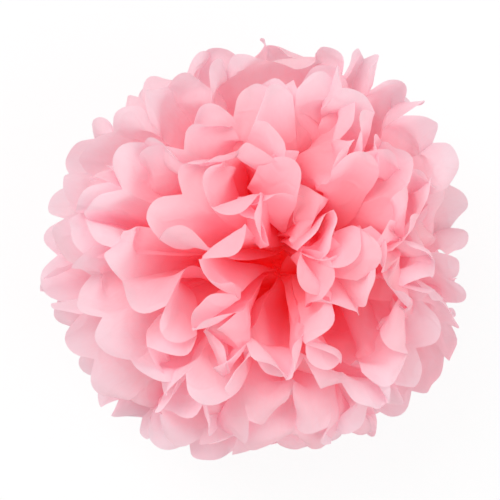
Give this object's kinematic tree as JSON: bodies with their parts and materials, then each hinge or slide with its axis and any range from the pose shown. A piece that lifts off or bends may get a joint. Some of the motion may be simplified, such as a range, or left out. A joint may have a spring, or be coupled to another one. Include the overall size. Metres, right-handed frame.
{
  "type": "tissue paper pom pom",
  "caption": "Ball-shaped paper flower: pleated tissue sheets with round-cut ends, tied at the middle with wire and fluffed apart into layered petals",
  "frame": {"origin": "under the middle of the whole part's box, on the table it lies on", "axes": "+Z up, out of the flower's centre; +X to the right and +Y up in the picture, which looks straight down; the pleats run along Y through the tie"},
  "size_m": [0.2234, 0.2114, 0.1917],
  "materials": {
    "tissue": "matte translucent tissue",
    "tie_wire": "thin coloured coating"
  },
  "bodies": {
    "root": {"tissue_sheet_1_top": "tissue", "tissue_sheet_2": "tissue", "tissue_sheet_3": "tissue", "tissue_sheet_4": "tissue", "tissue_sheet_5": "tissue", "tissue_sheet_6": "tissue", "tissue_sheet_7": "tissue", "tissue_sheet_8_bottom": "tissue", "tie_wire": "tie_wire"}
  },
  "joints": []
}
